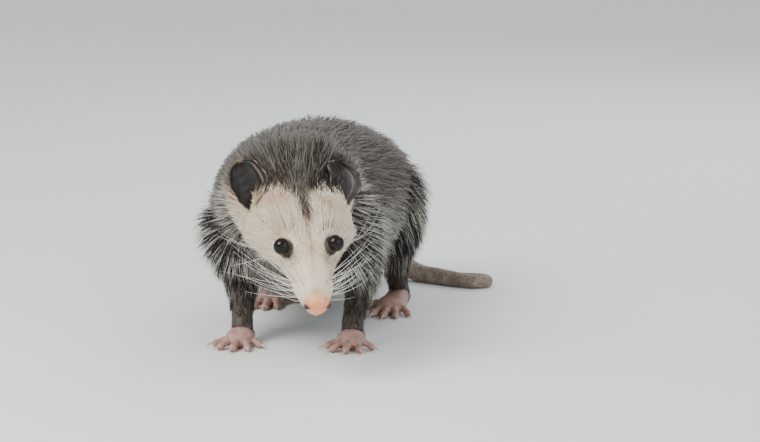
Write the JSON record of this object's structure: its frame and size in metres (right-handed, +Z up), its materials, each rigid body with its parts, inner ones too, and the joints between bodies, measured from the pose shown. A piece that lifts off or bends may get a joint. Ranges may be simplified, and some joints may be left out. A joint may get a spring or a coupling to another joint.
{
  "type": "opossum figure",
  "caption": "Life-size opossum with a white pointed face, dark cupped ears, grizzled coat and bare tail, standing on four feet with its head lowered.",
  "frame": {"origin": "on the floor under the middle of the bounding box", "axes": "+Z up; the trunk runs along Y with the head towards -Y; +X is the animal's left"},
  "size_m": [0.1976, 0.4474, 0.175],
  "materials": {
    "face": "short cream-white fur",
    "nose": "bare moist pink skin",
    "eye": "wet black gloss",
    "ear": "thin bare black skin with a pale rim",
    "coat": "grizzled fur, pale guard hairs over a black-tipped undercoat",
    "leg": "short black-brown fur",
    "foot": "bare skin, dark above, pink toes with pale claws",
    "tail": "small scales with sparse bristles, furred at the root"
  },
  "bodies": {
    "root": {"head": "face", "lower_jaw": "face", "nose": "nose", "eye_left": "eye", "eye_right": "eye", "ear_left": "ear", "ear_right": "ear", "neck": "coat", "torso": "coat", "foreleg_upper_left": "leg", "foreleg_upper_right": "leg", "foreleg_lower_left": "leg", "foreleg_lower_right": "leg", "forefoot_left": "foot", "forefoot_right": "foot", "hindleg_upper_left": "leg", "hindleg_upper_right": "leg", "hindleg_lower_left": "leg", "hindleg_lower_right": "leg", "hindfoot_left": "foot", "hindfoot_right": "foot", "tail_root": "tail", "tail_upper": "tail", "tail_middle": "tail", "tail_lower": "tail", "tail_tip": "tail"}
  },
  "joints": []
}
